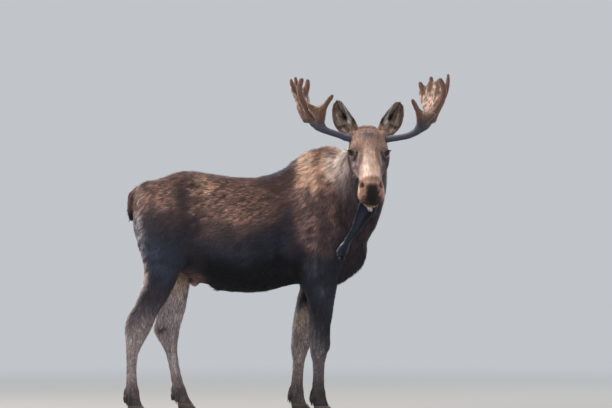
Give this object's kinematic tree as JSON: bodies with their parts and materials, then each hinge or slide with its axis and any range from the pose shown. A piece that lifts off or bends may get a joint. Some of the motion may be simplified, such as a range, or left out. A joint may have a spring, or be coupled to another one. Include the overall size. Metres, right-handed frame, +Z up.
{
  "type": "moose",
  "caption": "Life-size standing bull moose in velvet, head turned to its right, with two palmed antlers, hanging bell, short tail and cloven hooves.",
  "frame": {"origin": "on the floor, under the middle of the figure's bounding box", "axes": "+X the way the body heads, +Z up; the head is turned towards -Y, the animal's right"},
  "size_m": [2.1076, 1.1352, 2.2313],
  "materials": {
    "back": "grizzled red-brown coat over the back and shoulders",
    "coat": "near-black coat of the neck, haunch and tail",
    "face": "short tan-brown hair of the face and ears",
    "leg": "short grey-brown hair of the legs",
    "bell": "long black hair of the bell",
    "velvet": "furred skin of growing antlers",
    "horn": "worn dark hoof horn",
    "eye": "wet dark eyeball"
  },
  "bodies": {
    "root": {"foreleg_right_cannon": "leg", "foreleg_right_forearm": "leg", "foreleg_left_cannon": "leg", "foreleg_left_forearm": "leg", "hindleg_right_cannon": "leg", "hindleg_right_gaskin": "leg", "hindleg_right_thigh": "coat", "hindleg_left_cannon": "leg", "hindleg_left_gaskin": "leg", "hindleg_left_thigh": "coat", "head": "face", "neck": "coat", "trunk": "back", "jaw": "face", "eye_right": "eye", "eye_left": "eye", "foreleg_right_claw_outer": "horn", "foreleg_right_claw_inner": "horn", "foreleg_right_dewclaw_outer": "horn", "foreleg_right_dewclaw_inner": "horn", "foreleg_left_claw_outer": "horn", "foreleg_left_claw_inner": "horn", "foreleg_left_dewclaw_outer": "horn", "foreleg_left_dewclaw_inner": "horn", "hindleg_right_claw_outer": "horn", "hindleg_right_claw_inner": "horn", "hindleg_right_dewclaw_outer": "horn", "hindleg_right_dewclaw_inner": "horn", "hindleg_left_claw_outer": "horn", "hindleg_left_claw_inner": "horn", "hindleg_left_dewclaw_outer": "horn", "hindleg_left_dewclaw_inner": "horn", "ear_right": "face", "ear_left": "face", "tail": "coat", "bell": "bell", "antler_right_beam": "velvet", "antler_right_palm": "velvet", "antler_right_brow": "velvet", "antler_left_beam": "velvet", "antler_left_palm": "velvet", "antler_left_brow": "velvet"}
  },
  "joints": []
}
